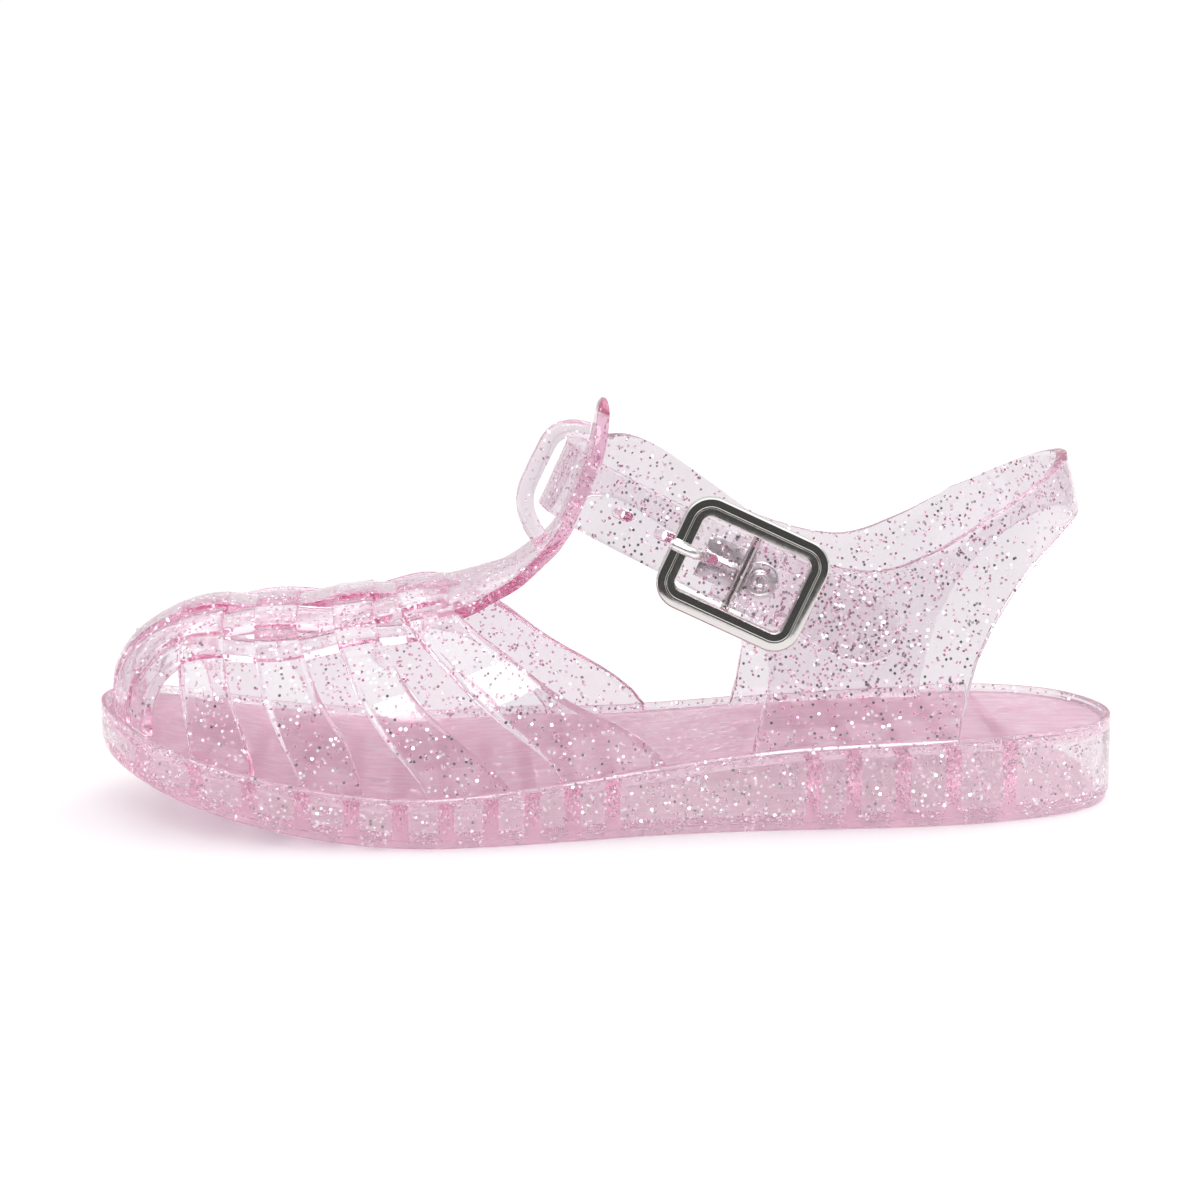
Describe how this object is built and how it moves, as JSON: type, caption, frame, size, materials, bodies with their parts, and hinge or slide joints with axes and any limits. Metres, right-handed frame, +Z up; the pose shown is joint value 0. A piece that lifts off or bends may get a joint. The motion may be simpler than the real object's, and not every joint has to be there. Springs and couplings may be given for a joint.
{
  "type": "sandal",
  "caption": "Child's moulded clear plastic sandal with a woven strap toe, an instep bar and a buckled ankle strap.",
  "frame": {"origin": "on the floor, under the middle of the sole's length and width", "axes": "+X from toe to heel, +Y to the medial side, +Z up"},
  "size_m": [0.175, 0.0706, 0.0701],
  "materials": {
    "sole_plastic": "clear pale pink flexible plastic with fine silver glitter, glossy",
    "upper_plastic": "clear pale pink flexible plastic with fine silver glitter, glossy",
    "buckle_metal": "bright plated steel"
  },
  "bodies": {
    "root": {"sole": "sole_plastic", "tread": "sole_plastic", "vamp": "upper_plastic", "heel_and_ankle_strap": "upper_plastic", "buckle_frame": "buckle_metal", "buckle_prong": "buckle_metal", "buckle_rivet": "buckle_metal"}
  },
  "joints": []
}
